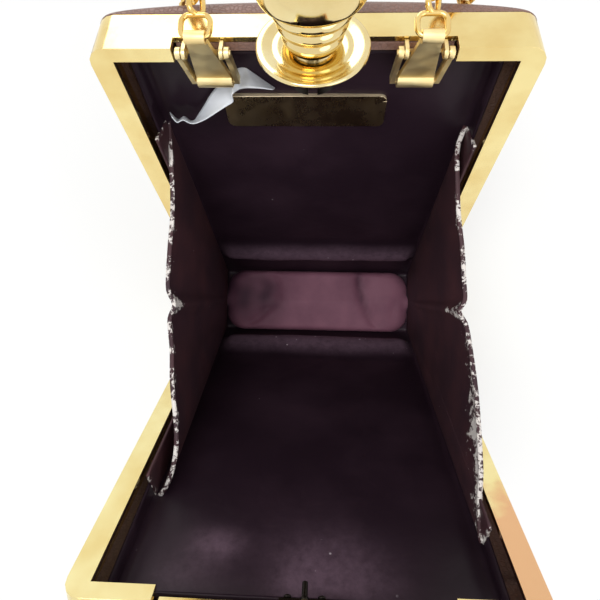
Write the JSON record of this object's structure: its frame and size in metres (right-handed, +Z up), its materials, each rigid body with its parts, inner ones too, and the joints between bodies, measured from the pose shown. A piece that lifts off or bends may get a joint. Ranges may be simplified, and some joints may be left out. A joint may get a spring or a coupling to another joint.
{
  "type": "box clutch",
  "caption": "Tall hinged box clutch with a polished metal frame, leather panels, a turned stopper clasp, fabric gussets and a shoulder chain, shown open.",
  "frame": {"origin": "centre of the standing bag's underside, between the two halves' lower back edges", "axes": "+Z up, +X along the hinge towards the wearer's right as one looks in from the front half, +Y towards the back half, which carries the knob and the chain"},
  "size_m": [0.11, 0.2232, 0.1844],
  "materials": {
    "polished_gold_plate": "polished gold plate",
    "mauve_brown_leather": "smooth, slightly mottled",
    "dark_plum_leather": "soft gloss, worn at the gussets' edges",
    "mauve_satin": "satin sheen",
    "nickelled_steel": "nickelled",
    "white_ribbon": "woven satin ribbon"
  },
  "bodies": {
    "back_half": {"back_frame": "polished_gold_plate", "back_panel": "mauve_brown_leather", "back_lining": "dark_plum_leather", "back_rim_strip": "mauve_brown_leather", "back_hinge_leaf": "polished_gold_plate", "hinge_pin": "nickelled_steel", "knob_bracket": "polished_gold_plate", "bracket_screw_left": "nickelled_steel", "bracket_screw_right": "nickelled_steel", "left_lug": "polished_gold_plate", "left_lug_pin_left": "polished_gold_plate", "left_lug_pin_right": "polished_gold_plate", "right_lug": "polished_gold_plate", "right_lug_pin_left": "polished_gold_plate", "right_lug_pin_right": "polished_gold_plate", "lining_plate": "polished_gold_plate", "ribbon_label": "white_ribbon", "gusset_left": "dark_plum_leather", "gusset_right": "dark_plum_leather", "floor_pad": "mauve_satin", "chain_left": "polished_gold_plate", "chain_right": "polished_gold_plate", "chain_coil": "polished_gold_plate"},
    "front_half": {"front_frame": "polished_gold_plate", "front_panel": "mauve_brown_leather", "front_lining": "dark_plum_leather", "front_rim_strip": "polished_gold_plate", "front_hinge_leaf": "polished_gold_plate", "latch_keeper": "nickelled_steel", "keeper_screw_left": "nickelled_steel", "keeper_screw_right": "nickelled_steel"},
    "knob": {"knob_cap": "polished_gold_plate", "knob_neck": "polished_gold_plate", "knob_disc": "polished_gold_plate", "knob_spindle": "nickelled_steel", "latch_cam": "nickelled_steel", "cam_nut": "nickelled_steel"},
    "left_bail": {"left_bail": "polished_gold_plate"},
    "right_bail": {"right_bail": "polished_gold_plate"},
    "left_hanger": {"left_hanger": "polished_gold_plate", "left_end_link": "polished_gold_plate"},
    "right_hanger": {"right_hanger": "polished_gold_plate", "right_end_link": "polished_gold_plate"}
  },
  "joints": [
    {"name": "shell_hinge", "type": "hinge", "parent": "back_half", "child": "front_half", "pos_m": [0, -0.00173, 0.00921], "axis": [-1, 0, 0], "range_deg": [0, 46.3], "deforming": ["gusset_left", "gusset_right", "floor_pad"]},
    {"name": "knob_turn", "type": "hinge", "parent": "back_half", "child": "knob", "pos_m": [0, 0.0612, 0.15631], "axis": [0, -0.3933, -0.9194], "range_deg": [0, 60]},
    {"name": "left_bail_swing", "type": "hinge", "parent": "back_half", "child": "left_bail", "pos_m": [-0.0266, 0.06094, 0.15316], "axis": [1, 0, 0], "range_deg": [-6, 6], "deforming": ["chain_left"]},
    {"name": "left_hanger_fold", "type": "hinge", "parent": "left_bail", "child": "left_hanger", "pos_m": [-0.0266, 0.06094, 0.13826], "axis": [1, 0, 0], "range_deg": [0, 4]},
    {"name": "right_bail_swing", "type": "hinge", "parent": "back_half", "child": "right_bail", "pos_m": [0.0266, 0.06094, 0.15316], "axis": [1, 0, 0], "range_deg": [-6, 6], "deforming": ["chain_right"]},
    {"name": "right_hanger_fold", "type": "hinge", "parent": "right_bail", "child": "right_hanger", "pos_m": [0.0266, 0.06094, 0.13826], "axis": [1, 0, 0], "range_deg": [0, 4]}
  ]
}
